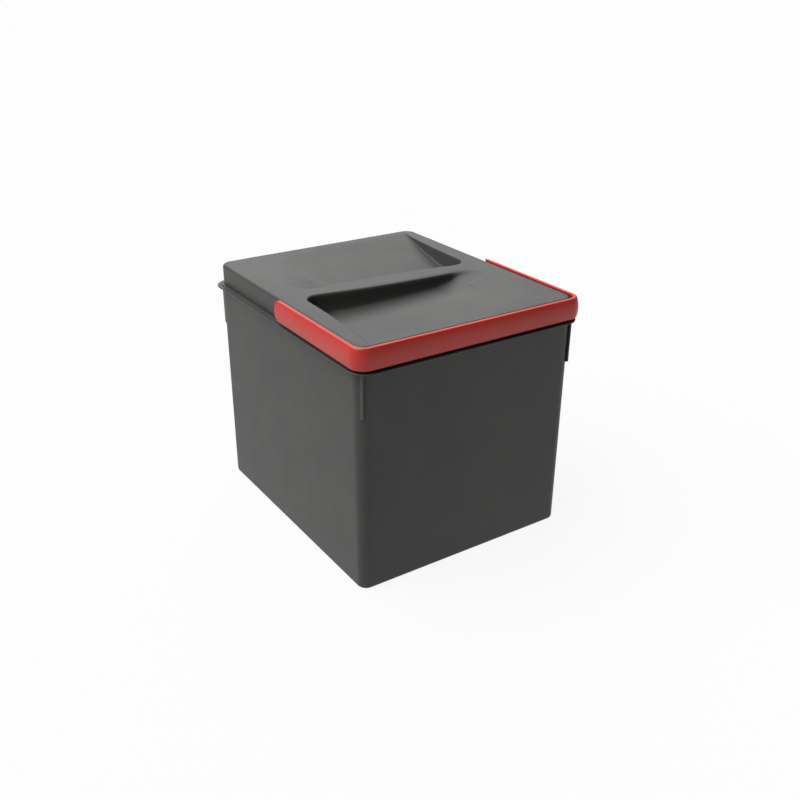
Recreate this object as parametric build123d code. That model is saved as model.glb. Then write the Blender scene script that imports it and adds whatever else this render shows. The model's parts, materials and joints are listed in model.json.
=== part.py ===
from build123d import *
import os

# Lidded kitchen waste bin that stands in a drawer: a tapered bucket, a drop-on lid with
# two finger troughs, and a swinging carry handle that rests round the front half of the rim.
# Millimetres. +Z is up, -Y is the front, and the origin is the middle of the base.

# --- driving dimensions -------------------------------------------------------------------
RIM_WIDTH = 258.0            # outside of the rim flange along X
RIM_DEPTH = 300.0            # outside of the rim flange along Y
RIM_RADIUS = 20.0            # plan radius of the flange's corners
RIM_OVERHANG = 6.2           # flange tip to the outside of the wall
WALL_TOP_Z = 226.0           # underside of the flange
WALL = 2.2                   # wall thickness of the bucket
FLOOR = 2.6                  # thickness of the bucket's floor
DRAFT = 1.4                  # how far each wall leans in between the flange and the base
CORNER_TOP = 13.0            # plan radius of the bucket's corners under the flange
CORNER_BASE = 10.0           # and at the base
BASE_EDGE = 3.5              # rounding where the walls turn into the base, outside
FLOOR_FILLET = 3.0           # and inside, where they meet the floor

FLANGE_T = 1.6               # thickness of the outer part of the flange
LEDGE_RISE = 1.0             # the inner part of the flange stands this much higher
LEDGE_IN = 4.0               # and starts this far in from the flange's tip
FLANGE_EDGE = 0.7            # rounding of the flange's edge, above and below
LEDGE_EDGE = 0.5             # rounding of the ledge's upper edge

HANDLE_GAP = 1.4             # the resting band clears the ledge by this much
BAND_H = 20.8                # height of the handle's band
BAND_T = 5.9                 # overall thickness of the band
BAND_LEAN_TOP = 2.4          # the crowned outer face draws in by this much at its top
BAND_LEAN_FOOT = 1.2         # and by this much at its foot
BAND_RADIUS = 15.0           # plan radius outside the handle's corners
BAND_SKIN = 2.4              # thickness of the band's outer skin and its two lips
RIB_PITCH = 29.0             # spacing of the ribs inside the band
RIB_T = 2.0                  # thickness of each rib
PIN_CLEAR = 12.0             # plain stretch of arm in front of the pin
HANDLE_END_Y = 2.2           # rear end of each arm
END_TOP_RADIUS = 5.0         # rounding of the arm's end, upper corner
END_FOOT_RADIUS = 9.0        # rounding of the arm's end, lower corner, which turns past the rim

PIVOT_Y = -8.0               # the handle's pivot along the side
SWING = 100                  # how far the handle lifts, degrees
PIN_D = 8.0                  # pivot pin moulded inside each arm
PIN_PLAY = 0.08              # radial play of the pin in its ear
PIN_CHAMFER = 0.4            # lead-in at the pin's free end
EAR_T = 2.2                  # thickness of the ear that stands on the rim
EAR_R = 7.0                  # its round head about the pivot
EAR_IN = 0.5                 # the ear's inner face, outward from the arm's inner face
EAR_GAP = 0.4                # ear to the pocket in the arm, on every side

LID_INSET = 7.0              # flange tip to the outside of the lid's skirt
LID_TOP_DROP = 0.8           # lid's top below the band's top
LID_T = 2.0                  # thickness of the lid's top and skirt
LID_RADIUS = 12.0            # plan radius of the lid's corners
LID_EDGE = 3.0               # rounding of the lid's top edge
LIP_GAP = 0.6                # the lid's locating lip to the inside of the bucket
LIP_T = 1.8                  # thickness of that lip
LIP_DEPTH = 7.5              # how far it reaches into the bucket
SEAT = 0.2                   # the skirt's foot above the ledge

TROUGH_DEPTH = 23.5          # depth of the ramp on the middle line, far out on the crisp side
TROUGH_MID_DEPTH = 14.0      # and where the soft end begins
TROUGH_SIDE_X = 101.0        # crisp end of the trough at the bridge
TROUGH_SIDE_FLARE = 8.0      # how much further out that end is at the lid's edge
TROUGH_BRIDGE_Y = 4.5        # bridge's half width at the crisp end
TROUGH_BRIDGE_SLANT = 13.5   # how much wider the half bridge is at the soft end
TROUGH_SOFT_X = 42.0         # where the floor starts to curl up
TROUGH_END_X = 91.0          # where it has reached the lid's top
TROUGH_FAR_Y = 134.0         # where the ramp reaches the lid's top
TROUGH_DRAFT = 9.0           # draft of its walls, degrees
TROUGH_CORNER = 15.0         # plan radius of the crisp corner
TROUGH_END_SLANT = 14.0      # how much further the bridge's edge slants past the soft end
TROUGH_CURL = 0.36           # height share of the soft end's curve at its middle
TROUGH_SPARE = 8.0           # extra cutting depth and length, outside the lid

FIN_X = 119.1                # nesting fin: its middle plane
FIN_T = 1.8                  # its thickness
FIN_TIP_Y = 143.6            # how far out its edge stands
FIN_ROOT_Y = 136.0           # its root, inside the corner of the wall
FIN_FOOT_Z = 180.0           # its lower end
FIN_CHAMFER = 3.0            # slope of its lower end

# --- worked out from them ----------------------------------------------------------------
HALF_W = RIM_WIDTH / 2
HALF_D = RIM_DEPTH / 2
FLANGE_TOP_Z = WALL_TOP_Z + FLANGE_T
LEDGE_Z = FLANGE_TOP_Z + LEDGE_RISE
BAND_FOOT_Z = LEDGE_Z + HANDLE_GAP
BAND_TOP_Z = BAND_FOOT_Z + BAND_H
PIVOT_Z = (BAND_FOOT_Z + BAND_TOP_Z) / 2
LID_TOP_Z = BAND_TOP_Z - LID_TOP_DROP
LID_FOOT_Z = LEDGE_Z + SEAT
LID_X = HALF_W - LID_INSET
LID_Y = HALF_D - LID_INSET
ARM_IN_X = HALF_W - BAND_T
EAR_OUT_X = ARM_IN_X + EAR_IN + EAR_T
ARM_START_Y = HANDLE_END_Y + 20


def slab(width, depth, radius, z, height):
    """A flat block with rounded corners, standing on height z."""
    outline = Pos(0, 0, z) * RectangleRounded(width, depth, radius)
    return extrude(outline, amount=height)


def tapered(base_w, base_d, base_r, z0, top_w, top_d, top_r, z1):
    """A block that widens from one rounded rectangle to another."""
    low = Pos(0, 0, z0) * RectangleRounded(base_w, base_d, base_r)
    high = Pos(0, 0, z1) * RectangleRounded(top_w, top_d, top_r)
    return loft([low, high], ruled=True)


def edges_at(solid, z, tolerance=0.05):
    """The edges of a solid that lie flat at height z."""
    found = [e for e in solid.edges() if abs(e.center().Z - z) < tolerance]
    return [e for e in found if e.bounding_box().size.Z < tolerance]


def fin(side, end):
    """One nesting fin: a thin upright blade on a corner, its edge parallel to the wall."""
    lean = DRAFT * (WALL_TOP_Z - FIN_FOOT_Z) / WALL_TOP_Z
    blade = Polyline(
        (end * FIN_ROOT_Y, WALL_TOP_Z + FLANGE_T / 2),
        (end * FIN_TIP_Y, WALL_TOP_Z + FLANGE_T / 2),
        (end * (FIN_TIP_Y - lean), FIN_FOOT_Z + FIN_CHAMFER),
        (end * (FIN_ROOT_Y - lean), FIN_FOOT_Z),
        close=True,
    )
    face = make_face(Plane.YZ * blade)
    return extrude(Pos(side * FIN_X, 0, 0) * face, amount=FIN_T / 2, both=True)


def ear(side):
    """One pivot ear: a plate on the rim with a round head and the pin's bore."""
    plate = Pos(0, PIVOT_Y, (PIVOT_Z + WALL_TOP_Z) / 2) * Box(EAR_T, 2 * EAR_R, PIVOT_Z - WALL_TOP_Z)
    along_x = Rot(0, 90, 0)
    head = Pos(0, PIVOT_Y, PIVOT_Z) * along_x * Cylinder(EAR_R, EAR_T)
    bore = Pos(0, PIVOT_Y, PIVOT_Z) * along_x * Cylinder(PIN_D / 2 + PIN_PLAY, 2 * EAR_T)
    return Pos(side * (EAR_OUT_X - EAR_T / 2), 0, 0) * (plate + head - bore)


def make_bucket():
    """The bucket: one moulding with its flange, nesting fins and pivot ears."""
    top_w = RIM_WIDTH - 2 * RIM_OVERHANG
    top_d = RIM_DEPTH - 2 * RIM_OVERHANG
    base_w = top_w - 2 * DRAFT
    base_d = top_d - 2 * DRAFT
    body = tapered(base_w, base_d, CORNER_BASE, 0, top_w, top_d, CORNER_TOP, WALL_TOP_Z)
    body = fillet(edges_at(body, 0), BASE_EDGE)
    flange = slab(RIM_WIDTH, RIM_DEPTH, RIM_RADIUS, WALL_TOP_Z, FLANGE_T)
    flange = fillet(edges_at(flange, WALL_TOP_Z) + edges_at(flange, FLANGE_TOP_Z), FLANGE_EDGE)
    ledge_w = RIM_WIDTH - 2 * LEDGE_IN
    ledge_d = RIM_DEPTH - 2 * LEDGE_IN
    ledge = slab(ledge_w, ledge_d, RIM_RADIUS - LEDGE_IN, WALL_TOP_Z, LEDGE_Z - WALL_TOP_Z)
    ledge = fillet(edges_at(ledge, LEDGE_Z), LEDGE_EDGE)
    solid = body + flange + ledge
    for side in (-1, 1):
        solid += ear(side)
        for end in (-1, 1):
            solid += fin(side, end)
    mouth = tapered(
        base_w - 2 * WALL, base_d - 2 * WALL, CORNER_BASE - WALL, FLOOR,
        top_w - 2 * WALL, top_d - 2 * WALL, CORNER_TOP - WALL, WALL_TOP_Z,
    )
    mouth = fillet(edges_at(mouth, FLOOR), FLOOR_FILLET)
    throat = slab(top_w - 2 * WALL, top_d - 2 * WALL, CORNER_TOP - WALL, WALL_TOP_Z, LEDGE_Z - WALL_TOP_Z)
    return solid - mouth - throat


def trough_section(y, depth_share, grow, side_x):
    """The trough's cross-section at one Y: a sloping floor, then a curl up to the lid's top."""
    top = LID_TOP_Z
    open_top = top + TROUGH_SPARE
    low = top - TROUGH_DEPTH * depth_share - grow
    mid = top - TROUGH_MID_DEPTH * depth_share - grow
    end = top - grow
    bend_x = (TROUGH_SOFT_X + TROUGH_END_X) / 2
    bend_z = mid + (end - mid) * TROUGH_CURL - 0.01
    far_x = TROUGH_END_X + TROUGH_SPARE
    curl = ThreePointArc((TROUGH_SOFT_X, y, mid), (bend_x, y, bend_z), (TROUGH_END_X, y, end))
    rest = Polyline(
        (TROUGH_END_X, y, end), (far_x, y, end), (far_x, y, open_top),
        (side_x, y, open_top), (side_x, y, low), (TROUGH_SOFT_X, y, mid),
    )
    return make_face(curl + rest)


def trough(grow):
    """The front finger trough as a solid, enlarged by grow on every wall and the floor.

    A ramp runs from its full depth beside the bridge up to the lid's top near the front edge,
    and the floor curls up to the top at the soft end. The plan outline has one crisp corner.
    """
    side = -(TROUGH_SIDE_X + grow)
    side_far = side - TROUGH_SIDE_FLARE
    back = -(TROUGH_BRIDGE_Y - grow)
    back_soft = back - TROUGH_BRIDGE_SLANT
    far = -(TROUGH_FAR_Y + grow)
    soft = TROUGH_END_X + grow
    outline = make_face(
        Polyline(
            (side, back), (TROUGH_SOFT_X, back_soft), (soft, back_soft - TROUGH_END_SLANT),
            (soft, far), (side_far, far), close=True,
        )
    )
    corner = outline.vertices().sort_by_distance((side, back, 0))[0]
    outline = Pos(0, 0, LID_TOP_Z) * fillet(corner, TROUGH_CORNER)
    pit = extrude(outline, amount=-(TROUGH_DEPTH + TROUGH_SPARE), taper=TROUGH_DRAFT)
    pit += extrude(outline, amount=TROUGH_SPARE / 2)
    wide = side_far - TROUGH_SPARE
    ramp = loft([trough_section(0, 1, grow, wide), trough_section(-TROUGH_FAR_Y, 0, grow, wide)], ruled=True)
    if grow:
        level = [trough_section(-TROUGH_FAR_Y, 0, grow, wide), trough_section(far - 1, 0, grow, wide)]
        ramp += loft(level, ruled=True)
    return pit & ramp


def both_ends(solid):
    """A shape and its copy turned half round about the bin's upright middle line."""
    return solid + Rot(0, 0, 180) * solid


def make_lid():
    """The lid: a thin shell with a skirt, a locating lip and two finger troughs."""
    height = LID_TOP_Z - LID_FOOT_Z
    outer = slab(2 * LID_X, 2 * LID_Y, LID_RADIUS, LID_FOOT_Z, height)
    outer = fillet(edges_at(outer, LID_TOP_Z), LID_EDGE)
    hollow = slab(
        2 * (LID_X - LID_T), 2 * (LID_Y - LID_T), LID_RADIUS - LID_T, LID_FOOT_Z - 1, height + 1 - LID_T
    )
    hollow = fillet(edges_at(hollow, LID_TOP_Z - LID_T), LID_EDGE - LID_T / 2)
    lip_x = HALF_W - RIM_OVERHANG - WALL - LIP_GAP
    lip_y = HALF_D - RIM_OVERHANG - WALL - LIP_GAP
    lip_r = CORNER_TOP - WALL - LIP_GAP
    lip_z = LEDGE_Z - LIP_DEPTH
    foot = slab(2 * LID_X, 2 * LID_Y, LID_RADIUS, LID_FOOT_Z, LID_T)
    lip = slab(2 * lip_x, 2 * lip_y, lip_r, lip_z, LIP_DEPTH + LID_T)
    inside = slab(2 * (lip_x - LIP_T), 2 * (lip_y - LIP_T), lip_r - LIP_T, lip_z - 1, LIP_DEPTH + LID_T + 2)
    shell = outer - hollow + (foot - inside) + (lip - inside)
    room = slab(2 * LID_X - LID_T, 2 * LID_Y - LID_T, LID_RADIUS, LEDGE_Z, height - LID_T / 2)
    shell += both_ends(trough(LID_T)) & room
    return shell - both_ends(trough(0.0))


def band_path():
    """The handle's plan path, along the band's inner face: arm, corner, front, corner, arm."""
    front_y = -(HALF_D - BAND_T)
    left = (-ARM_IN_X, ARM_START_Y, 0)
    right = (ARM_IN_X, ARM_START_Y, 0)
    corners = [(-ARM_IN_X, front_y, 0), (ARM_IN_X, front_y, 0)]
    return FilletPolyline(left, *corners, right, radius=BAND_RADIUS - BAND_T)


def band_profile():
    """The band's cross-section at the start of the left arm: flat inside, crowned outside."""
    y = ARM_START_Y
    foot_x = -(HALF_W - BAND_LEAN_FOOT)
    top_x = -(HALF_W - BAND_LEAN_TOP)
    crown = ThreePointArc((foot_x, y, BAND_FOOT_Z), (-HALF_W, y, PIVOT_Z - 1), (top_x, y, BAND_TOP_Z))
    inner_edge = [(-ARM_IN_X, y, BAND_TOP_Z), (-ARM_IN_X, y, BAND_FOOT_Z)]
    rest = Polyline((top_x, y, BAND_TOP_Z), *inner_edge, (foot_x, y, BAND_FOOT_Z))
    return make_face(crown + rest)


def rib_pockets():
    """The pockets inside the band that leave its skin, its two lips and a rib every pitch."""
    tall = BAND_H - 2 * BAND_SKIN
    long = RIB_PITCH - RIB_T
    deep = BAND_T - BAND_SKIN - BAND_LEAN_TOP / 2
    pockets = []
    across = int((ARM_IN_X - BAND_RADIUS) * 2 // RIB_PITCH)
    for i in range(across):
        x = (i - (across - 1) / 2) * RIB_PITCH
        y = -(HALF_D - BAND_T) - deep / 2
        pockets.append(Pos(x, y, PIVOT_Z) * Box(long, deep, tall))
    along = int((HALF_D - BAND_T - BAND_RADIUS - PIN_CLEAR) // RIB_PITCH)
    for i in range(along):
        y = PIVOT_Y - PIN_CLEAR - (i + 0.5) * RIB_PITCH
        for side in (-1, 1):
            x = side * (ARM_IN_X + deep / 2)
            pockets.append(Pos(x, y, PIVOT_Z) * Box(deep, long, tall))
    return pockets


def arm_side():
    """The handle seen from the side, extruded across: it rounds the ends of both arms."""
    length = HALF_D + HANDLE_END_Y + 5
    block = Pos(0, HANDLE_END_Y - length / 2, PIVOT_Z) * Box(RIM_WIDTH + 10, length, BAND_H)
    rear = [e for e in block.edges() if abs(e.center().Y - HANDLE_END_Y) < 0.01]
    upper = [e for e in rear if abs(e.center().Z - BAND_TOP_Z) < 0.01]
    block = fillet(upper, END_TOP_RADIUS)
    rear = [e for e in block.edges() if abs(e.center().Y - HANDLE_END_Y) < 0.01]
    lower = [e for e in rear if abs(e.center().Z - BAND_FOOT_Z) < 0.01]
    return fillet(lower, END_FOOT_RADIUS)


def ear_pocket(side):
    """The pocket inside one arm's end that the ear stands in, through the handle's whole swing."""
    depth = EAR_IN + EAR_T + EAR_GAP
    width = 2 * (EAR_R + EAR_GAP)
    reach = BAND_H + HANDLE_END_Y - PIVOT_Y
    pocket = Rot(0, 90, 0) * Cylinder(width / 2, 2 * depth)
    for turn in (0, SWING / 2, SWING):
        pocket += Rot(turn, 0, 0) * Pos(0, 0, -reach / 2) * Box(2 * depth, width, reach)
    return Pos(side * ARM_IN_X, PIVOT_Y, PIVOT_Z) * pocket


def pin(side):
    """One pivot pin, standing in from the bottom of the pocket and through the ear."""
    length = EAR_T + 2 * EAR_GAP
    core = Pos(0, PIVOT_Y, PIVOT_Z) * Rot(0, 90, 0) * Cylinder(PIN_D / 2, length + 1)
    core = chamfer(core.edges().group_by(Axis.X)[0 if side > 0 else -1], PIN_CHAMFER)
    return Pos(side * (EAR_OUT_X + EAR_GAP - length / 2 + 1 / 2), 0, 0) * core


def make_carry_handle():
    """The carry handle: a ribbed channel band in a U, with a pocket and a pin in each arm."""
    band = sweep(band_profile(), path=band_path())
    band = band & arm_side()
    for pocket in rib_pockets():
        band -= pocket
    for side in (-1, 1):
        band = band - ear_pocket(side) + pin(side)
    return band


def write(name, solid):
    """Write one sub-part as a STEP file named after its node."""
    solid.label = name
    export_step(solid, os.path.join("parts", name + ".step"))
    print(name, round(solid.volume / 1000, 1), "cm3", solid.bounding_box())


os.makedirs("parts", exist_ok=True)
write("bucket", make_bucket())
write("lid", make_lid())
write("carry_handle", make_carry_handle())
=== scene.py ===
import json
import math
import bpy
import numpy as np
from mathutils import Matrix, Quaternion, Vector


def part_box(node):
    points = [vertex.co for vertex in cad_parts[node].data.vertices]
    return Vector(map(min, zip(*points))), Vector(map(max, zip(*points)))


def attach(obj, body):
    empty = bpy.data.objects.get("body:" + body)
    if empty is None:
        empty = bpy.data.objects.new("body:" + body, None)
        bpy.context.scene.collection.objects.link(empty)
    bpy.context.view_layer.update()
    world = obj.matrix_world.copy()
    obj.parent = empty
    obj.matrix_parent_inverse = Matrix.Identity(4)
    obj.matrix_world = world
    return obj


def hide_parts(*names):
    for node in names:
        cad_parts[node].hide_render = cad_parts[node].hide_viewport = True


# Lidded kitchen waste bin that stands in a drawer: three injection mouldings, a tapered bucket,
# a drop-on lid with two finger troughs and a red carry handle that rests round the front half.
# Shapes are worked out in millimetres and written to the meshes in metres.

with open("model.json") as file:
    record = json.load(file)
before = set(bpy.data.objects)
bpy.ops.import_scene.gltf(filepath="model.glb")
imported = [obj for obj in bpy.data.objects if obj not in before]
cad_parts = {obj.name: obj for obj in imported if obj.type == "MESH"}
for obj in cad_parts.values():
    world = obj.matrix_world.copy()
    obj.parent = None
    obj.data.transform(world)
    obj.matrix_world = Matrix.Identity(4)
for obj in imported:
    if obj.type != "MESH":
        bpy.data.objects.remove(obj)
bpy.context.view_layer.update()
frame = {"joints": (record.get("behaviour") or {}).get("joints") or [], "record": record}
MM = 0.001


def box_mm(node_name):
    """A CAD node's lowest and highest corners, in millimetres."""
    low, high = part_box(node_name)
    return np.array(low) / MM, np.array(high) / MM


def record_entry(rows, name):
    """The row with that name in one of the record's lists."""
    return next(row for row in rows if row["name"] == name)


BUCKET_LOW, BUCKET_HIGH = box_mm("bucket")
LID_LOW, LID_HIGH = box_mm("lid")
HANDLE_LOW, HANDLE_HIGH = box_mm("carry_handle")
RIM_MOUNT = record_entry(frame["record"]["mounts"], "rim_underside")
PIVOT = np.array(record_entry(frame["joints"], "handle_swing")["pos_m"]) / MM

# --- bucket, millimetres ------------------------------------------------------------------
RIM_X, RIM_Y = BUCKET_HIGH[:2]      # half sizes of the rim flange
WALL_TOP = RIM_MOUNT["pos_m"][2] / MM
RIM_OVERHANG = 6.2
DRAFT = 1.4                         # how far each wall leans in towards the base
CORNER_TOP = 13.0
CORNER_BASE = 10.0
WALL = 2.2
FLOOR = 2.6
BASE_EDGE = 3.5
FLOOR_FILLET = 3.0
FLANGE_T = 1.6
FLANGE_EDGE = 0.7
LEDGE_RISE = 1.0
LEDGE_IN = 4.0
SMALL_EDGE = 0.45                   # rounding of the moulding's other edges
WALL_SINK = 0.45                    # how far the middle of a wall is drawn in as it cools
GATE_R = 5.0                        # moulding gate in the middle of the base
GATE_DEPTH = 0.5
LEDGE_TOP = WALL_TOP + FLANGE_T + LEDGE_RISE

# --- fins and ears ------------------------------------------------------------------------
FIN_X = 119.1
FIN_T = 1.8
FIN_TIP = 143.6
FIN_ROOT = 136.0
FIN_FOOT = 180.0
FIN_SLOPE = 3.0
EAR_T = 2.2
EAR_R = 7.0
EAR_IN = 0.5
EAR_GAP = 0.4
BORE_R = 4.08
PIN_R = 4.0
PIN_CHAMFER = 0.4

# --- lid ----------------------------------------------------------------------------------
LID_X, LID_Y, LID_TOP = LID_HIGH
LID_FOOT = LEDGE_TOP + 0.2
LIP_FOOT = LID_LOW[2]
LID_T = 2.0
LID_RADIUS = 12.0
LID_EDGE = 3.0
LIP_T = 1.8
TROUGH_SIDE = 101.0                 # crisp end of each trough at the bridge
TROUGH_FLARE = 8.0                  # how much further out that end is at the far end
FLARE_FROM = 20.0                   # it runs straight up to here and then curves outwards
FLARE_OVER = 114.0
BRIDGE_HALF = 2.5                   # half the bridge's width at the crisp end
BRIDGE_GAIN = 19.0                  # how much it gains towards the soft end
BRIDGE_X = -83.0                    # where it starts to gain
BRIDGE_SOFT = 6.0                   # how gently it starts
BRIDGE_FADE = 80.0                  # distance over which the gain levels out
TROUGH_FAR = 136.0                  # where the ramp reaches the lid's top
TROUGH_DEEP = 19.5                  # depth beside the bridge at DEEP_X
DEEP_X = -70.0
DEPTH_SLOPE = 0.0625                # how fast that depth lessens towards the soft end
SOFT_FROM = 40.0                    # where the floor starts to rise to the lid's top
SOFT_TO = 101.0                     # and where it would arrive
END_X = 91.0                        # the soft end itself
END_RADIUS = 26.0                   # plan radius of its corner beside the bridge
BRIDGE_DRAFT = math.radians(9.0)
CRISP_DRAFT = math.radians(15.0)
END_DRAFT = math.radians(76.0)
CRISP_EDGE = 1.2                    # rounding of the upper edge along the crisp end
BRIDGE_EDGE = 3.0                   # along the bridge
END_EDGE = 40.0                     # and along the soft end
TROUGH_CORNER = 15.0                # plan radius of the crisp corner
CRISP_FILLET = 3.0                  # height over which crisp wall and floor melt together
BRIDGE_FILLET = 11.0                # and for the bridge's wall
RAMP_BLEND = 1.4                    # height over which ramp and top melt together

# --- handle -------------------------------------------------------------------------------
BAND_T = 5.9
BAND_FOOT, BAND_TOP = HANDLE_LOW[2], HANDLE_HIGH[2]
BAND_RADIUS = 15.0
CROWN_Z = PIVOT[2] - 1.0            # height where the crowned face stands furthest out
LEAN_TOP = 2.4
LEAN_FOOT = 1.2
BAND_EDGE = 0.9                     # rounding of the band's outer edges
BAND_SKIN = 2.4
RIB_PITCH = 29.0
RIB_T = 2.0
PIN_CLEAR = 12.0
END_TOP_R = 4.0
END_FOOT_R = 9.0
ARM_IN = RIM_X - BAND_T             # inner face of each arm
ARM_END = HANDLE_HIGH[1]            # rear end of the arms
FRONT_IN = RIM_Y - BAND_T           # inner face of the crossbar
POCKET = EAR_IN + EAR_T + EAR_GAP   # depth of the ear's pocket in the arm
POCKET_RISE = math.radians(10.0)    # its roof rises towards the arm's end, for the end of the swing
POCKET_SPARE = 0.52


# ==========================================================================================
# Surface work
# ==========================================================================================
def arc(centre, radius, start, stop, steps):
    """Points on a circle from one angle to another, both ends included. Angles in degrees."""
    a = np.radians(np.linspace(start, stop, steps + 1))
    return np.stack([centre[0] + radius * np.cos(a), centre[1] + radius * np.sin(a)], 1)


def smooth_step(t):
    """0 below 0, 1 above 1, and 3t^2 - 2t^3 between."""
    t = np.clip(t, 0, 1)
    return t * t * (3 - 2 * t)


def smooth_least(a, b, k):
    """The lesser of two heights, melted together by a parabola where they differ by less than k."""
    h = np.clip(k - np.abs(a - b), 0, None) / k
    return np.minimum(a, b) - h * h * k / 4


def loop_quads(rows, columns, closed_rows=False):
    """Quads between neighbouring rows of a grid whose columns close into a ring."""
    r = np.arange(rows if closed_rows else rows - 1)[:, None]
    c = np.arange(columns)[None, :]
    up = (r + 1) % rows
    right = (c + 1) % columns
    corners = (r * columns + c, r * columns + right, up * columns + right, up * columns + c)
    return np.stack(np.broadcast_arrays(*corners), -1).reshape(-1, 4)


def fan(ring, pole, flip=False):
    """Triangles from each side of a ring of point numbers to one pole."""
    nxt = np.roll(ring, -1)
    poles = np.full_like(ring, pole)
    return np.stack([nxt, ring, poles] if flip else [ring, nxt, poles], 1)


def rectangle_ring(corner_steps, side_steps):
    """A rounded rectangle taken apart: each point's place along the sides, from -1 to 1, and its
    outward direction. A corner turns in equal steps, and a side has two points close to its ends
    that keep the flat wall flat up to the corner."""
    turn = np.radians(np.linspace(0, 90, corner_steps + 1))
    inner = np.linspace(-1, 1, side_steps + 1)[1:-1]
    side = np.concatenate([[-0.985], inner, [0.985]])
    places, ways = [], []
    for quarter in range(4):
        spin = np.array([[0, 1], [-1, 0]]) if quarter % 2 else np.eye(2)
        sign = 1 if quarter < 2 else -1
        corner_place = np.ones((len(turn), 2))
        corner_way = np.stack([np.cos(turn), np.sin(turn)], 1)
        side_place = np.stack([-side, np.ones_like(side)], 1)
        side_way = np.tile([0.0, 1.0], (len(side), 1))
        block = np.concatenate([corner_place, side_place]), np.concatenate([corner_way, side_way])
        places.append(sign * block[0] @ spin)
        ways.append(sign * block[1] @ spin)
    return np.concatenate(places), np.concatenate(ways)


def carried(ring, rows):
    """A profile carried round a rounded rectangle. Each row holds half width, half depth, corner
    radius and height: a point is the corner centre's share of its place plus the radius along its
    outward direction."""
    place, way = ring
    half = rows[:, None, 0:2]
    radius = rows[:, None, 2:3]
    plan = (half - radius) * place[None] + radius * way[None]
    height = np.broadcast_to(rows[:, None, 3:4], plan.shape[:2] + (1,))
    return np.concatenate([plan, height], 2)


def finish_mesh(name, shells, material, body, sharp=35.0):
    """One mesh object from shells of (points in millimetres, list of face arrays), smooth shaded
    with sharp edges above an angle, riding on a body."""
    points, faces, start = [], [], 0
    for shell_points, face_sets in shells:
        for face_set in face_sets:
            faces += (face_set + start).tolist()
        points.append(shell_points.reshape(-1, 3))
        start += len(points[-1])
    mesh = bpy.data.meshes.new(name)
    mesh.from_pydata((np.concatenate(points) * MM).tolist(), [], faces)
    mesh.shade_smooth()
    mesh.set_sharp_from_angle(angle=math.radians(sharp))
    mesh.materials.append(material)
    piece = bpy.data.objects.new(name, mesh)
    bpy.context.scene.collection.objects.link(piece)
    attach(piece, body)
    return piece


# ==========================================================================================
# Materials
# ==========================================================================================
def linear(hex_colour):
    """An sRGB hex colour as a linear RGBA value."""
    raw = np.array([int(hex_colour[i:i + 2], 16) for i in (1, 3, 5)]) / 255
    low, high = raw / 12.92, ((raw + 0.055) / 1.055) ** 2.4
    return (*np.where(raw <= 0.04045, low, high).tolist(), 1.0)


def add_node(tree, kind, values=None, links=None, **settings):
    """Adds a node: settings are its own properties, values its sockets', links what feeds them."""
    made = tree.nodes.new(kind)
    for key, value in settings.items():
        setattr(made, key, value)
    for key, value in (values or {}).items():
        made.inputs[key].default_value = value
    for key, source in (links or {}).items():
        tree.links.new(source, made.inputs[key])
    return made


def per_metre(size_mm):
    """The noise scale whose blotches measure about that many millimetres."""
    return 1 / (size_mm * MM)


def moulded_polypropylene(name, base, pale, roughness, specular, grain_depth):
    """Injection-moulded polypropylene from a spark-eroded tool: a very fine matt grain that
    softens the highlights, faint flow clouding in the colour, and slightly shinier patches where
    hands and neighbours have rubbed it. The real grain is 0.1 mm; it is drawn 0.7 mm wide so that
    it still shows."""
    material = bpy.data.materials.new(name)
    material.use_nodes = True
    tree = material.node_tree
    tree.nodes.clear()
    place = add_node(tree, "ShaderNodeTexCoord").outputs["Object"]
    cloud = add_node(
        tree, "ShaderNodeTexNoise", {"Scale": per_metre(55), "Detail": 3.0, "Roughness": 0.5}, {"Vector": place}
    )
    cloud_share = add_node(
        tree, "ShaderNodeMapRange", {"From Min": 0.35, "From Max": 0.65, "To Max": 1.0}, {"Value": cloud.outputs[0]}
    )
    speck = add_node(
        tree, "ShaderNodeTexNoise", {"Scale": per_metre(1.1), "Detail": 2.0}, {"Vector": place}
    )
    # Mix keeps one set of sockets per data type; the colour ones are numbers 6 and 7.
    clouded = add_node(
        tree, "ShaderNodeMix", {6: linear(base), 7: linear(pale)}, {0: cloud_share.outputs[0]}, data_type="RGBA"
    )
    rub = add_node(
        tree, "ShaderNodeTexNoise", {"Scale": per_metre(24), "Detail": 5.0, "Roughness": 0.6}, {"Vector": place}
    )
    rubbed = add_node(
        tree, "ShaderNodeMapRange",
        {"From Min": 0.3, "From Max": 0.7, "To Min": roughness - 0.02, "To Max": roughness + 0.02},
        {"Value": rub.outputs[0]},
    )
    grain = add_node(
        tree, "ShaderNodeTexNoise", {"Scale": per_metre(0.7), "Detail": 2.0, "Roughness": 0.6}, {"Vector": place}
    )
    both = add_node(
        tree, "ShaderNodeMath", {}, {0: grain.outputs[0], 1: speck.outputs[0]}, operation="ADD"
    )
    bump = add_node(
        tree, "ShaderNodeBump", {"Strength": 0.35, "Distance": grain_depth * MM}, {"Height": both.outputs[0]}
    )
    shader = add_node(
        tree, "ShaderNodeBsdfPrincipled", {"IOR": 1.49, "Specular IOR Level": specular, "Metallic": 0.0},
        {"Base Color": clouded.outputs[2], "Roughness": rubbed.outputs[0], "Normal": bump.outputs[0]},
    )
    add_node(tree, "ShaderNodeOutputMaterial", {}, {"Surface": shader.outputs[0]})
    return material


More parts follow.
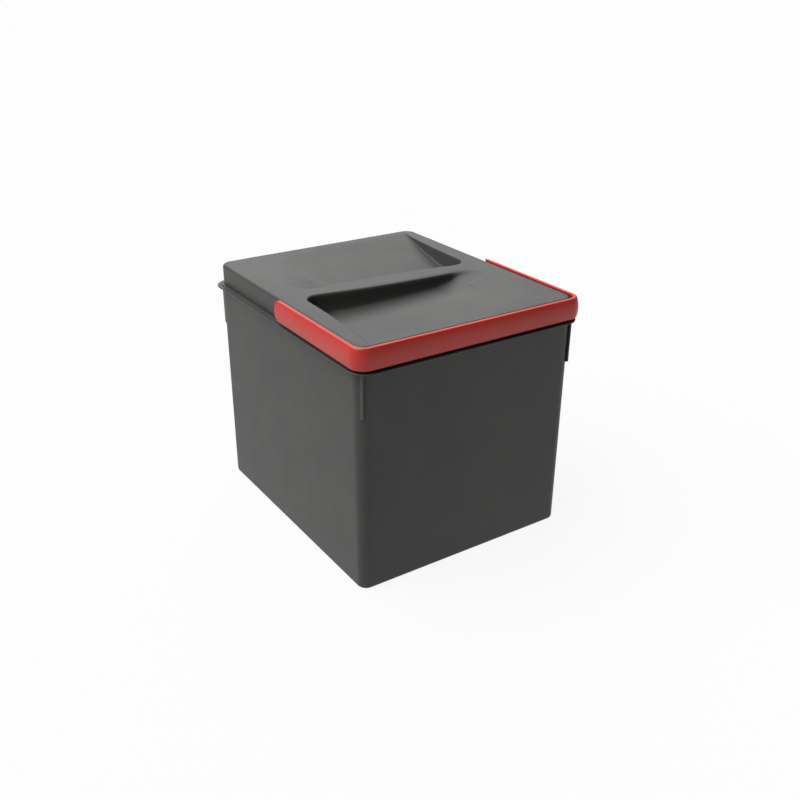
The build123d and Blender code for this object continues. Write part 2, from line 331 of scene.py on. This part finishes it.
def lit_table(name):
    """The pale sweep that the bin stands on: matt acrylic, lit softly from below, so that the
    bin's shadow stays faint."""
    material = bpy.data.materials.new(name)
    material.use_nodes = True
    tree = material.node_tree
    tree.nodes.clear()
    shader = add_node(
        tree, "ShaderNodeBsdfPrincipled",
        {"Base Color": linear("#383838"), "Roughness": 0.9, "Specular IOR Level": 0.0,
         "Emission Color": linear("#FFFFFF"), "Emission Strength": 0.91},
    )
    add_node(tree, "ShaderNodeOutputMaterial", {}, {"Surface": shader.outputs[0]})
    return material


GREY = moulded_polypropylene("anthracite_polypropylene_spark_eroded", "#2D2D2C", "#31312F", 0.46, 0.34, 0.06)
RED = moulded_polypropylene("red_polypropylene_satin", "#9B221B", "#A0251D", 0.40, 0.40, 0.04)


# ==========================================================================================
# Bucket
# ==========================================================================================
def bucket_profile():
    """The bucket's section as (outset from the outer wall, height), from the middle of the base
    up the outside, over the rim and down the inside, with every edge an arc."""
    edge = SMALL_EDGE
    tip_low = WALL_TOP + FLANGE_EDGE
    tip_high = WALL_TOP + FLANGE_T - FLANGE_EDGE
    step = RIM_OVERHANG - LEDGE_IN
    flange_top = WALL_TOP + FLANGE_T
    wall_rows = np.linspace(BASE_EDGE + 1.0, WALL_TOP - 2.0, 15)
    in_rows = np.linspace(LEDGE_TOP - 1.5, FLOOR + FLOOR_FILLET + 1.0, 12)
    parts = [
        arc((-BASE_EDGE, BASE_EDGE), BASE_EDGE, -90, 0, 8),
        np.stack([np.zeros_like(wall_rows), wall_rows], 1),
        arc((edge, WALL_TOP - edge), edge, 180, 90, 4),
        [(1.2, WALL_TOP), (RIM_OVERHANG - FLANGE_EDGE - 0.3, WALL_TOP)],
        arc((RIM_OVERHANG - FLANGE_EDGE, tip_low), FLANGE_EDGE, -90, 0, 5),
        arc((RIM_OVERHANG - FLANGE_EDGE, tip_high), FLANGE_EDGE, 0, 90, 5),
        [(RIM_OVERHANG - FLANGE_EDGE - 0.3, flange_top), (step + 0.6, flange_top)],
        arc((step + 0.3, flange_top + 0.3), 0.3, -90, -180, 3),
        arc((step - edge, LEDGE_TOP - edge), edge, 0, 90, 4),
        [(step - edge - 0.3, LEDGE_TOP), (-WALL + edge + 0.3, LEDGE_TOP)],
        arc((-WALL + edge, LEDGE_TOP - edge), edge, 90, 180, 4),
        np.stack([np.full_like(in_rows, -WALL), in_rows], 1),
        arc((-WALL - FLOOR_FILLET, FLOOR + FLOOR_FILLET), FLOOR_FILLET, 0, -90, 6),
    ]
    return np.concatenate([np.asarray(p, float) for p in parts])


def make_bucket():
    """The bucket as one closed skin. A wall's half size at a height runs straight from base to
    flange, and each wall is drawn in by a sine up its height times a parabola along its length."""
    profile = bucket_profile()
    out, z = profile[:, 0], profile[:, 1]
    rise = np.clip(z / WALL_TOP, 0, 1)
    half_x = RIM_X - RIM_OVERHANG - DRAFT * (1 - rise) + out
    half_y = RIM_Y - RIM_OVERHANG - DRAFT * (1 - rise) + out
    radius = CORNER_BASE + (CORNER_TOP - CORNER_BASE) * rise + out
    ring = rectangle_ring(18, 14)
    place, way = ring
    skin = carried(ring, np.stack([half_x, half_y, radius, z], 1))
    sink = WALL_SINK * np.sin(np.pi * rise)[:, None] * (2 - (place ** 2).sum(1))[None]
    skin[..., :2] -= sink[..., None] * way[None]
    columns = skin.shape[1]
    base_rows = [(GATE_R, 0), (GATE_R - 0.6, GATE_DEPTH)]
    turn = np.arctan2(skin[0, :, 1], skin[0, :, 0])
    gate = np.stack([np.stack([r * np.cos(turn), r * np.sin(turn), np.full(columns, h)], 1) for r, h in base_rows])
    flat = skin[0] * [0.96, 0.96, 1]
    inside = skin[-1] * [0.94, 0.94, 1]
    grid = np.concatenate([gate[::-1], flat[None], skin, inside[None]])
    rows = len(grid)
    points = np.concatenate([grid.reshape(-1, 3), [[0, 0, GATE_DEPTH], [0, 0, FLOOR]]])
    numbers = np.arange(rows * columns).reshape(rows, columns)
    first_pole = rows * columns
    faces = [
        loop_quads(rows, columns),
        fan(numbers[0], first_pole, flip=True),
        fan(numbers[-1], first_pole + 1),
    ]
    return points, faces


def make_ear(side):
    """One pivot ear: rays from the bore's middle meet a round head above and a straight stem
    below, and rings of those points are stacked across the thickness, closed through the bore."""
    low = PIVOT[2] - (WALL_TOP + FLANGE_T / 2)
    corner = math.atan2(low, EAR_R)
    a = np.sort(np.concatenate([np.linspace(0, 2 * np.pi, 72, endpoint=False), [-corner % (2 * np.pi), np.pi + corner]]))
    with np.errstate(divide="ignore"):
        stem = np.minimum(EAR_R / np.abs(np.cos(a)), low / np.abs(np.sin(a)))
    reach = np.where(np.sin(a) >= 0, EAR_R, stem)
    x0 = ARM_IN + EAR_IN
    x1 = x0 + EAR_T
    edge = 0.3
    rows = [(BORE_R, 0, x0), (reach - edge, 1, x0), (reach, 1, x0 + edge), (reach, 1, x1 - edge),
            (reach - edge, 1, x1), (BORE_R, 0, x1)]
    rings = []
    for radius, _, x in rows:
        y = PIVOT[1] + radius * np.cos(a)
        z = PIVOT[2] + radius * np.sin(a)
        rings.append(np.stack([np.full_like(a, side * x), y, z], 1))
    grid = np.stack(rings)
    quads = loop_quads(len(rows), len(a), closed_rows=True)
    return grid, [quads[:, ::-1] if side > 0 else quads]


def make_fin(side, end):
    """One nesting fin: the outline of its section, a flat strip with a rounded outer edge, is
    stacked up its height, and the lower rows slope up towards the outer edge."""
    tip = arc((0, 0), FIN_T / 2, 0, 180, 8) * [1, 0.6]
    section = np.concatenate([[(FIN_T / 2, -1), (FIN_T / 2, -0.5)], tip, [(-FIN_T / 2, -0.5), (-FIN_T / 2, -1)]])
    length = FIN_TIP - FIN_ROOT - FIN_T / 2 * 0.6
    across = section[:, 0]
    along = np.where(section[:, 1] < 0, section[:, 1] * length, section[:, 1])
    levels = np.array([0.0, 0.02, 0.25, 0.5, 0.75, 1.0])
    lean = DRAFT * (1 - FIN_FOOT / WALL_TOP)
    share = np.clip(1 + along / length, 0, 1)
    foot = FIN_FOOT + FIN_SLOPE * share
    top = WALL_TOP + FLANGE_T / 2
    z = foot[None] + (top - foot)[None] * levels[:, None]
    x = np.broadcast_to(FIN_X * side + across, z.shape)
    y = FIN_TIP - FIN_T / 2 * 0.6 + along[None] - lean * (1 - levels[:, None])
    grid = np.stack([x, end * y, z], 2)
    rows, columns = z.shape
    numbers = np.arange(rows * columns).reshape(rows, columns)
    middle = grid[[0, -1]].mean(1)
    faces = [loop_quads(rows, columns), fan(numbers[0], rows * columns, flip=True), fan(numbers[-1], rows * columns + 1)]
    if end < 0:
        faces = [f[:, ::-1] for f in faces]
    return np.concatenate([grid.reshape(-1, 3), middle]), faces


# ==========================================================================================
# Lid
# ==========================================================================================
def bridge_line(x):
    """How much wider the half bridge is at x than at its crisp end: it starts to gain softly, by
    the logarithm of one plus an exponential, and levels out like 1 - e^-t."""
    along = BRIDGE_SOFT * np.log1p(np.exp((x - BRIDGE_X) / BRIDGE_SOFT))
    return BRIDGE_GAIN * (1 - np.exp(-along / BRIDGE_FADE))


def side_flare(y):
    """How far the trough's crisp end has moved out at y: a parabola that starts off the bridge."""
    share = np.clip((-y - FLARE_FROM) / FLARE_OVER, 0, 1.05)
    return TROUGH_FLARE * share ** 2


def corner_distance(a, b, r):
    """Distance inside two straight sides that meet in a corner of radius r, and which of the two
    is the nearer, from 0 for the first to 1 for the second."""
    short_a, short_b = np.clip(r - a, 0, None), np.clip(r - b, 0, None)
    inside = np.where(np.minimum(a, b) < r, r - np.hypot(short_a, short_b), np.minimum(a, b))
    return inside, np.arctan2(short_b, short_a + 1e-9) * 2 / math.pi


def wall_fall(inward, edge, draft):
    """Depth of a wall at a distance inside its upper edge: a round of that radius, and then a
    straight fall at the draft angle."""
    fall = math.pi / 2 - draft
    tangent = edge * np.tan(fall / 2)
    on_arc = np.clip(inward + tangent, 0, edge * np.sin(fall))
    rounded = edge - np.sqrt(edge ** 2 - on_arc ** 2)
    return np.where(inward > edge * np.sin(fall) - tangent, inward / np.tan(draft), rounded)


def trough_depth(x, y, grow, edge_share):
    """Depth of the front trough below the lid's top. Its outline is the bridge line, the crisp end
    line and the soft end line, with round corners, and its wall falls from a rounded upper edge.
    The floor is a ramp times a depth along the bridge that lessens steadily and then fades to
    nothing at the soft end. Wall and floor are melted together, over a greater height along the
    bridge."""
    to_bridge = -BRIDGE_HALF - bridge_line(x) - y + grow
    to_side = x + TROUGH_SIDE + side_flare(y) + grow
    to_end = END_X - x + grow
    inside, crisp = corner_distance(to_bridge, to_side, TROUGH_CORNER)
    inside_end, at_end = corner_distance(to_bridge, to_end, END_RADIUS)
    edge = (BRIDGE_EDGE + (CRISP_EDGE - BRIDGE_EDGE) * crisp) * edge_share
    draft = BRIDGE_DRAFT + (CRISP_DRAFT - BRIDGE_DRAFT) * crisp
    soft_edge = (BRIDGE_EDGE + (END_EDGE - BRIDGE_EDGE) * at_end) * edge_share
    soft_draft = BRIDGE_DRAFT + (END_DRAFT - BRIDGE_DRAFT) * at_end
    wall = np.where(x < 0, wall_fall(inside, edge, draft), wall_fall(inside_end, soft_edge, soft_draft))
    depth = TROUGH_DEEP - DEPTH_SLOPE * (x - DEEP_X)
    depth = depth * (1 - smooth_step((x - SOFT_FROM) / (SOFT_TO - SOFT_FROM)))
    start = BRIDGE_HALF + bridge_line(x)
    ramp = depth * (y + TROUGH_FAR) / (TROUGH_FAR - start)
    floor = -smooth_least(-ramp, np.zeros_like(ramp), RAMP_BLEND)
    fillet = BRIDGE_FILLET + (CRISP_FILLET - BRIDGE_FILLET) * smooth_step(crisp)
    return smooth_least(wall, floor, np.minimum(fillet, floor) + 1e-6)


def steps_between(stops):
    """Line positions: stops is a list of (from, to, spacing) that follow on from each other."""
    runs = [np.linspace(a, b, max(1, round(abs(b - a) / gap)), endpoint=False) for a, b, gap in stops]
    return np.concatenate(runs + [[stops[-1][1]]])


def lid_plan():
    """The plan of the lid's flat part as a grid whose lines follow the trough's walls. The front
    half has columns that lean with the crisp end and rows that slant with the bridge, each held
    still at the lid's edges; the two depend on each other, so they settle in a few rounds. The
    rear half is the front half turned half round. The corners are rounded by the map that takes
    a square to a disc."""
    in_x = LID_X - LID_EDGE
    in_y = LID_Y - LID_EDGE
    r = LID_RADIUS - LID_EDGE
    left = steps_between([
        (-in_x, -in_x + 0.6, 0.6), (-in_x + 0.6, -in_x + r, 1.2), (-in_x + r, -TROUGH_SIDE - 1.5, 1.2),
        (-TROUGH_SIDE - 1.5, -TROUGH_SIDE + 5.5, 0.4), (-TROUGH_SIDE + 5.5, -84.0, 0.9), (-84.0, 0.0, 2.4),
    ])
    columns = np.concatenate([left, -left[-2::-1]])
    rows = steps_between([
        (0.0, -1.0, 0.34), (-1.0, -9.0, 0.4), (-9.0, -19.0, 0.9), (-19.0, -in_y + r, 2.3),
        (-in_y + r, -in_y + 0.6, 1.2), (-in_y + 0.6, -in_y, 0.6),
    ])
    x0, y0 = np.meshgrid(columns, rows)
    lean = np.interp(x0, [-in_x, -TROUGH_SIDE - 1.5, -84.0, 20.0], [0, 1, 1, 0])
    slant = np.interp(-y0, [0, 1.0, 14.0, in_y - r], [0, 1, 1, 0])
    x, y = x0, y0
    for _ in range(16):
        x = x0 - lean * side_flare(y)
        y = y0 - slant * bridge_line(x)
    front = np.stack([x, y], 2)
    plan = np.concatenate([-front[:0:-1, ::-1], front])
    over = (np.abs(plan) - [in_x - r, in_y - r]) / r
    u, v = np.clip(over[..., 0], 0, 1), np.clip(over[..., 1], 0, 1)
    shift = np.stack([u * (np.sqrt(1 - v * v / 2) - 1), v * (np.sqrt(1 - u * u / 2) - 1)], 2)
    return plan + np.sign(plan) * shift * r


def grid_quads(numbers, flip=False):
    """Quads over a grid of point numbers, facing up where rows run towards -Y."""
    quads = np.stack([numbers[:-1, :-1], numbers[1:, :-1], numbers[1:, 1:], numbers[:-1, 1:]], -1).reshape(-1, 4)
    return quads[:, ::-1] if flip else quads


def make_lid():
    """The lid as one closed skin: the upper face is a height over the plan grid, its border turns
    down in an arc and becomes the skirt, the foot and the locating lip, and comes up inside to the
    under face, which is the same height taken with a larger trough and one thickness lower."""
    plan = lid_plan()
    x, y = plan[..., 0], plan[..., 1]
    turned = np.where(y > 0, -1.0, 1.0)
    dip = trough_depth(turned * x, turned * y, 0.0, 1.0)
    under_dip = trough_depth(turned * x, turned * y, LID_T * 0.85, 0.6)
    rows, columns = x.shape
    numbers = np.arange(rows * columns).reshape(rows, columns)
    border = np.concatenate([numbers[:, 0], numbers[-1, 1:], numbers[-2::-1, -1], numbers[0, -2:0:-1]])
    upper = np.concatenate([plan, (LID_TOP - dip)[..., None]], 2).reshape(-1, 3)
    under = np.concatenate([plan, (LID_TOP - LID_T - under_dip)[..., None]], 2).reshape(-1, 3)
    edge_plan = plan.reshape(-1, 2)[border]
    r = LID_RADIUS - LID_EDGE
    way = np.sign(edge_plan) * np.clip(np.abs(edge_plan) - [LID_X - LID_EDGE - r, LID_Y - LID_EDGE - r], 0, None)
    way /= np.linalg.norm(way, axis=1)[:, None]
    side = np.linspace(LID_TOP - LID_EDGE - 1.0, LID_FOOT + 1.0, 5)
    edge = SMALL_EDGE
    inner = LID_EDGE - LID_T
    profile = np.concatenate([
        arc((0, LID_TOP - LID_EDGE), LID_EDGE, 90, 0, 10)[1:],
        np.stack([np.full_like(side, LID_EDGE), side], 1),
        arc((LID_EDGE - edge, LID_FOOT + edge), edge, 0, -90, 3),
        [(inner + 0.3, LID_FOOT), (inner, LID_FOOT - 0.2), (inner, LIP_FOOT + 1.0)],
        arc((inner - edge, LIP_FOOT + edge), edge, 0, -90, 3),
        arc((inner - LIP_T + edge, LIP_FOOT + edge), edge, -90, -180, 3),
        [(inner - LIP_T, LID_FOOT + LID_T - 0.3), (inner - LIP_T + 0.3, LID_FOOT + LID_T)],
        [(inner - 0.2, LID_FOOT + LID_T), (inner, LID_FOOT + LID_T + 0.2), (inner, LID_TOP - LID_EDGE - 1.0)],
        arc((0, LID_TOP - LID_T - inner), inner, 0, 90, 5)[:-1],
    ])
    rings = np.concatenate([
        edge_plan[None] + way[None] * profile[:, None, 0:1],
        np.broadcast_to(profile[:, None, 1:2], (len(profile), len(border), 1)),
    ], 2)
    points = np.concatenate([upper, rings.reshape(-1, 3), under])
    ring_numbers = len(upper) + np.arange(rings.shape[0] * rings.shape[1]).reshape(rings.shape[:2])
    under_start = len(upper) + rings.shape[0] * rings.shape[1]
    stack = np.concatenate([border[None], ring_numbers, under_start + border[None]])
    nxt = np.roll(stack, -1, axis=1)
    skirt = np.stack([stack[:-1], stack[1:], nxt[1:], nxt[:-1]], -1).reshape(-1, 4)
    return points, [grid_quads(numbers), skirt, grid_quads(under_start + numbers, flip=True)]


# ==========================================================================================
# Handle
# ==========================================================================================
def handle_stations():
    """Distances along the band's inner face, from the left arm's end, and for each whether it is
    inside a rib pocket or an ear pocket. A pocket wall is a pair of lines 0.3 mm apart."""
    bend = BAND_RADIUS - BAND_T
    arm = ARM_END + FRONT_IN - bend
    turn = bend * math.pi / 2
    front = 2 * (ARM_IN - bend)
    total = 2 * arm + 2 * turn + front
    ear_end = ARM_END - PIVOT[1] + EAR_R + EAR_GAP
    walls = []
    along = int((FRONT_IN - (BAND_RADIUS - BAND_T) - 6 - PIN_CLEAR) // RIB_PITCH)
    first = ARM_END - PIVOT[1] + PIN_CLEAR
    for i in range(along):
        walls.append((first + i * RIB_PITCH + RIB_T / 2, first + (i + 1) * RIB_PITCH - RIB_T / 2))
    across = int((ARM_IN - BAND_RADIUS) * 2 // RIB_PITCH)
    middle = total / 2
    for i in range(across):
        centre = middle + (i - (across - 1) / 2) * RIB_PITCH
        walls.append((centre - (RIB_PITCH - RIB_T) / 2, centre + (RIB_PITCH - RIB_T) / 2))
    walls += [(total - b, total - a) for a, b in walls[:along]]
    ease = END_FOOT_R * (1 - np.cos(np.radians(np.linspace(0, 90, 14))))
    lines = [ease, total - ease, np.linspace(arm, arm + turn, 11), np.linspace(total - arm - turn, total - arm, 11)]
    lines += [np.array([a, a + 0.3, (a + b) / 2, b - 0.3, b]) for a, b in walls]
    lines += [np.array([ear_end - 0.3, ear_end]), total - np.array([ear_end - 0.3, ear_end])]
    lines += [np.array([0.1, 0.3, 0.6]), total - np.array([0.1, 0.3, 0.6])]
    s = np.unique(np.round(np.concatenate(lines), 4))
    tiny = 0.01
    in_rib = np.zeros(len(s))
    for a, b in walls:
        in_rib += (s > a + 0.3 - tiny) & (s < b - 0.3 + tiny)
    from_end = np.minimum(s, total - s)
    in_ear = (from_end < ear_end - 0.3 + tiny).astype(float)
    return s, from_end, in_rib, in_ear, (arm, turn, front, total)


def handle_path(s, lengths):
    """The band's inner face in plan at distance s, and the direction outwards: an arm, a quarter
    circle, the crossbar, a quarter circle and an arm."""
    arm, turn, front, total = lengths
    bend = BAND_RADIUS - BAND_T
    left = s <= total / 2
    d = np.where(left, s, total - s)
    angle = np.clip((d - arm) / bend, 0, math.pi / 2)
    way = np.stack([-np.cos(angle), -np.sin(angle)], 1)
    straight_y = ARM_END - np.clip(d, 0, arm)
    past = np.clip(d - arm - turn, 0, None)
    x = -ARM_IN + bend - bend * np.cos(angle) + past
    y = straight_y - bend * np.sin(angle)
    flip = np.where(left, 1.0, -1.0)
    return np.stack([x * flip, y], 1), way * np.stack([flip, np.ones_like(flip)], 1)


def make_handle():
    """The band as one closed skin: lines run along it, sharing their heights on the outer and the
    inner face. The outer face is crowned by two parabolas that meet at its fullest height, and its
    edges are rounded. The inner face steps back into the pockets. Towards each end the top comes
    down and the foot comes up on quarter circles."""
    s, from_end, in_rib, in_ear, lengths = handle_stations()
    over_top = END_TOP_R - np.sqrt(END_TOP_R ** 2 - np.clip(END_TOP_R - from_end, 0, None) ** 2)
    over_foot = END_FOOT_R - np.sqrt(END_FOOT_R ** 2 - np.clip(END_FOOT_R - from_end, 0, None) ** 2)
    top = BAND_TOP - over_top
    foot = BAND_FOOT + over_foot
    e = BAND_EDGE
    edge_turn = e * (1 - np.cos(np.radians(np.linspace(0, 90, 6))))
    lip = BAND_SKIN
    low = [edge_turn[0], edge_turn[1], edge_turn[2], edge_turn[3], edge_turn[4], edge_turn[5], lip - 0.3, lip]
    share = np.linspace(0, 1, 9)
    behind = np.clip(ARM_END - from_end - PIVOT[1], 0, None)
    over_ear = (EAR_R + EAR_GAP + behind * math.sin(POCKET_RISE)) / math.cos(POCKET_RISE)
    ear_top = (PIVOT[2] + over_ear + POCKET_SPARE)[:, None]
    flex = np.clip((top - foot - 2 * lip), 0.5, None)
    mid = foot[:, None] + lip + 0.01 + flex[:, None] * share[None] * 0.999
    lower = foot[:, None] + np.array(low)[None] * np.minimum(1, (top - foot)[:, None] / (2 * lip + 1))
    upper = top[:, None] - np.array(low[::-1])[None] * np.minimum(1, (top - foot)[:, None] / (2 * lip + 1))
    z = np.concatenate([lower, mid[:, 1:-1], upper], 1)
    z = np.maximum.accumulate(z, axis=1)
    in_lip = np.zeros(z.shape[1])
    in_lip[len(low) - 1:-(len(low) - 1)] = 1
    up_share = (z - CROWN_Z) / (BAND_TOP - CROWN_Z)
    down_share = (CROWN_Z - z) / (CROWN_Z - BAND_FOOT)
    out = BAND_T - np.where(z > CROWN_Z, LEAN_TOP * up_share ** 2, LEAN_FOOT * down_share ** 2)
    near_top = np.clip(z - (top[:, None] - e), 0, e)
    near_foot = np.clip(foot[:, None] + e - z, 0, e)
    out -= e - np.sqrt(e * e - near_top ** 2)
    out -= e - np.sqrt(e * e - near_foot ** 2)
    small = 0.5
    inner_top = np.clip(z - (top[:, None] - small), 0, small)
    inner_foot = np.clip(foot[:, None] + small - z, 0, small)
    inn = 2 * small - np.sqrt(small ** 2 - inner_top ** 2) - np.sqrt(small ** 2 - inner_foot ** 2)
    rib_depth = BAND_T - BAND_SKIN - LEAN_TOP / 2
    inn = np.maximum(inn, rib_depth * in_rib[:, None] * in_lip[None])
    below_ear_top = (z < ear_top).astype(float)
    inn = np.maximum(inn, POCKET * in_ear[:, None] * below_ear_top)
    end_round = 0.5
    squeeze = end_round - np.sqrt(np.clip(end_round ** 2 - np.clip(end_round - from_end, 0, None) ** 2, 0, None))
    out -= squeeze[:, None]
    inn += squeeze[:, None]
    plan, way = handle_path(s, lengths)
    around = np.concatenate([out, inn[:, ::-1]], 1)
    heights = np.concatenate([z, z[:, ::-1]], 1)
    xy = plan[:, None] + way[:, None] * around[..., None]
    grid = np.concatenate([xy, heights[..., None]], 2)
    rows, columns = grid.shape[:2]
    numbers = np.arange(rows * columns).reshape(rows, columns)
    half = columns // 2
    caps = []
    for row, flip in ((0, False), (-1, True)):
        outer, inner = numbers[row, :half], numbers[row, half:][::-1]
        cap = np.stack([outer[:-1], outer[1:], inner[1:], inner[:-1]], 1)
        caps.append(cap[:, ::-1] if flip else cap)
    return grid, [loop_quads(rows, columns)[:, ::-1], caps[0][:, ::-1], caps[1][:, ::-1]]


def make_pin(side):
    """One pivot pin: a profile of radii and places turned round the pivot line, with a pole in the
    middle of each end."""
    x_in = ARM_IN + POCKET - EAR_T - 2 * EAR_GAP
    x_out = ARM_IN + POCKET + 0.8
    profile = [(PIN_R - PIN_CHAMFER, x_in), (PIN_R, x_in + PIN_CHAMFER), (PIN_R, x_out - 0.6), (PIN_R - 0.2, x_out)]
    a = np.linspace(0, 2 * np.pi, 40, endpoint=False)
    rings = [np.stack([np.full_like(a, side * x), PIVOT[1] + r * np.cos(a), PIVOT[2] + r * np.sin(a)], 1)
             for r, x in profile]
    grid = np.stack(rings)
    rows, columns = grid.shape[:2]
    numbers = np.arange(rows * columns).reshape(rows, columns)
    poles = [[side * x_in, PIVOT[1], PIVOT[2]], [side * x_out, PIVOT[1], PIVOT[2]]]
    faces = [loop_quads(rows, columns), fan(numbers[0], rows * columns, flip=True), fan(numbers[-1], rows * columns + 1)]
    if side < 0:
        faces = [f[:, ::-1] for f in faces]
    return np.concatenate([grid.reshape(-1, 3), poles]), faces


# ==========================================================================================
# The pieces
# ==========================================================================================
SIDES = (-1, 1)
bucket_shells = [make_bucket()] + [make_ear(side) for side in SIDES]
bucket_skin = finish_mesh("bucket_moulding", bucket_shells, GREY, "bucket_body")
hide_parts("bucket")

fin_shells = [make_fin(side, end) for side in SIDES for end in SIDES]
fins = finish_mesh("nesting_fins", fin_shells, GREY, "bucket_body")

lid_skin = finish_mesh("lid_moulding", [make_lid()], GREY, "lid_body")
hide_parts("lid")

handle_shells = [make_handle()] + [make_pin(side) for side in SIDES]
handle_skin = finish_mesh("carry_handle_moulding", handle_shells, RED, "handle_body", 40.0)
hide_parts("carry_handle")


# ==========================================================================================
# Stage, lights and camera
# ==========================================================================================
def make_floor(reach):
    """The table: a flat grid, a hair below the bin's base, wide enough to fill every view."""
    line = np.linspace(-reach, reach, 9)
    x, y = np.meshgrid(line, line[::-1])
    points = np.stack([x, y, np.full_like(x, -0.0002)], 2).reshape(-1, 3)
    mesh = bpy.data.meshes.new("table")
    mesh.from_pydata(points.tolist(), [], grid_quads(np.arange(81).reshape(9, 9)).tolist())
    mesh.materials.append(lit_table("matt_acrylic_table"))
    table = bpy.data.objects.new("table", mesh)
    bpy.context.scene.collection.objects.link(table)


def aim(obj, place, target):
    """Puts a light or the camera somewhere, looking at a target with its top upwards."""
    obj.location = place
    look = np.array(target) - np.array(place)
    look = look / np.linalg.norm(look)
    right = np.cross(look, [0, 0, 1])
    right /= np.linalg.norm(right)
    up = np.cross(right, look)
    obj.rotation_mode = "QUATERNION"
    obj.rotation_quaternion = Matrix(np.stack([right, up, -look], 1).tolist()).to_quaternion()


def direction(azimuth, elevation):
    """The unit vector towards a place seen at that azimuth, from -Y turning to +X, and height."""
    a, e = math.radians(azimuth), math.radians(elevation)
    return np.array([math.sin(a) * math.cos(e), -math.cos(a) * math.cos(e), math.sin(e)])


def add_sun(name, azimuth, elevation, strength, softness):
    """A far, wide light from one direction; softness is how many degrees of sky it fills."""
    light = bpy.data.lights.new(name, "SUN")
    light.energy = strength
    light.angle = math.radians(softness)
    sun = bpy.data.objects.new(name, light)
    bpy.context.scene.collection.objects.link(sun)
    aim(sun, direction(azimuth, elevation) * 2, (0, 0, 0))


def add_sky(strength):
    """The room: even white light from everywhere."""
    world = bpy.data.worlds.new("studio")
    world.use_nodes = True
    world.node_tree.nodes.clear()
    sky = add_node(
        world.node_tree, "ShaderNodeBackground", {"Color": (1, 1, 1, 1), "Strength": strength}
    )
    add_node(world.node_tree, "ShaderNodeOutputWorld", {}, {"Surface": sky.outputs[0]})
    bpy.context.scene.world = world


def add_camera():
    """The camera, turned a little about its own line of sight."""
    camera_data = bpy.data.cameras.new("camera")
    camera_data.sensor_width = 36.0
    camera_data.lens = 42.948
    camera = bpy.data.objects.new("camera", camera_data)
    bpy.context.scene.collection.objects.link(camera)
    target = np.array([14.854, 0.0, 110.058]) * MM
    aim(camera, target + direction(-33.863, 25.512) * 1035.309 * MM, target)
    roll = Quaternion((0, 0, 1), math.radians(0.467))
    camera.rotation_quaternion = camera.rotation_quaternion @ roll
    bpy.context.scene.camera = camera


make_floor(15.0)
add_sky(0.08)
add_sun("back_light", 155, 38, 1.5, 60)
add_sun("left_light", -112, 58, 5.8, 60)
add_camera()
bpy.context.scene.view_settings.view_transform = "Standard"
